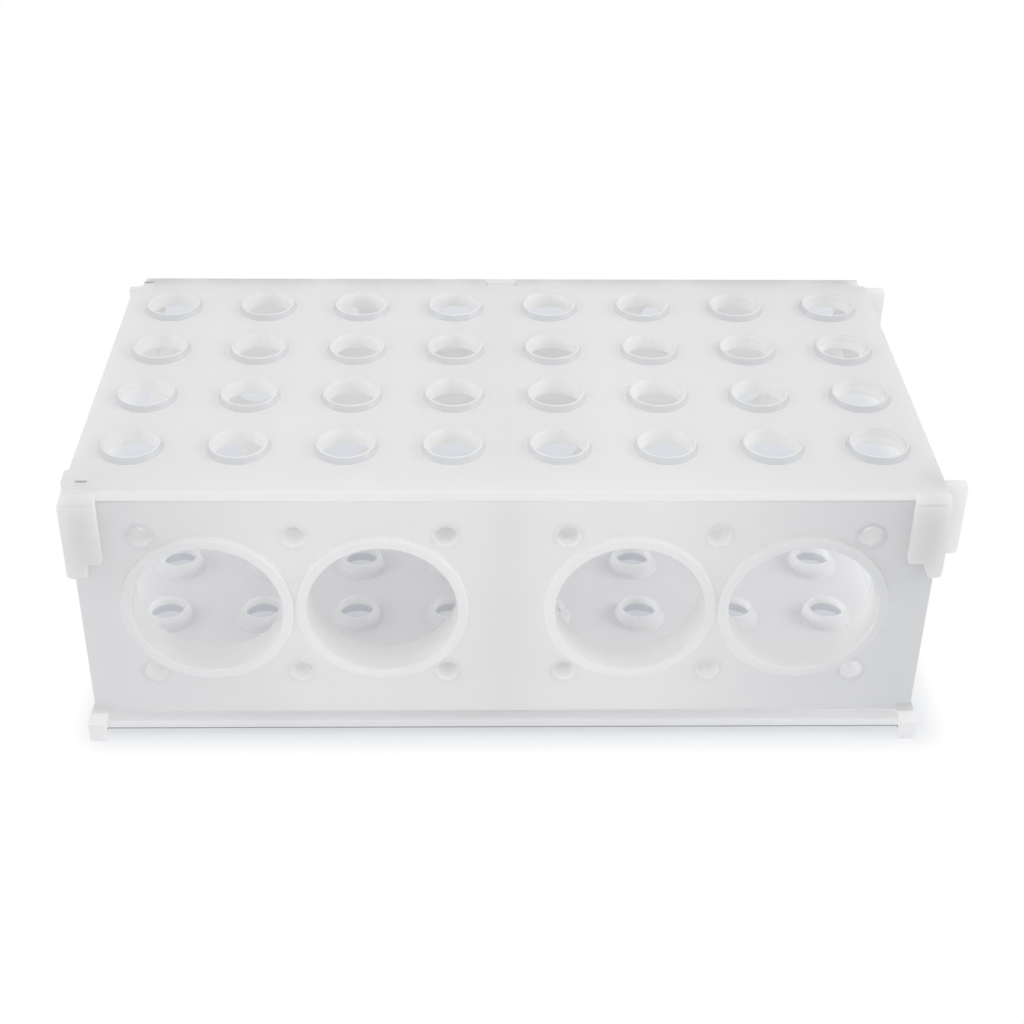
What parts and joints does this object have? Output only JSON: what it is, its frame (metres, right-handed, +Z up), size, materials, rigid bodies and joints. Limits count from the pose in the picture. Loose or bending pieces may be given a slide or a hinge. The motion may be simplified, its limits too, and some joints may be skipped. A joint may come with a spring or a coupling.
{
  "type": "microcentrifuge tube rack",
  "caption": "Four-way laboratory tube rack in milky plastic: ringed holes for a different tube size on each long side, on four small feet, with interlock tabs at one end.",
  "frame": {"origin": "middle of the footprint, feet and tabs included, on the surface the feet stand on", "axes": "+X along the rack towards the interlock tabs, -Y towards the four large holes, +Z up"},
  "size_m": [0.183, 0.099, 0.0649],
  "materials": {
    "natural_polypropylene": "milky translucent, satin"
  },
  "bodies": {
    "root": {"top_panel": "natural_polypropylene", "front_panel": "natural_polypropylene", "back_panel": "natural_polypropylene", "bottom_panel": "natural_polypropylene", "centre_partition": "natural_polypropylene"}
  },
  "joints": []
}
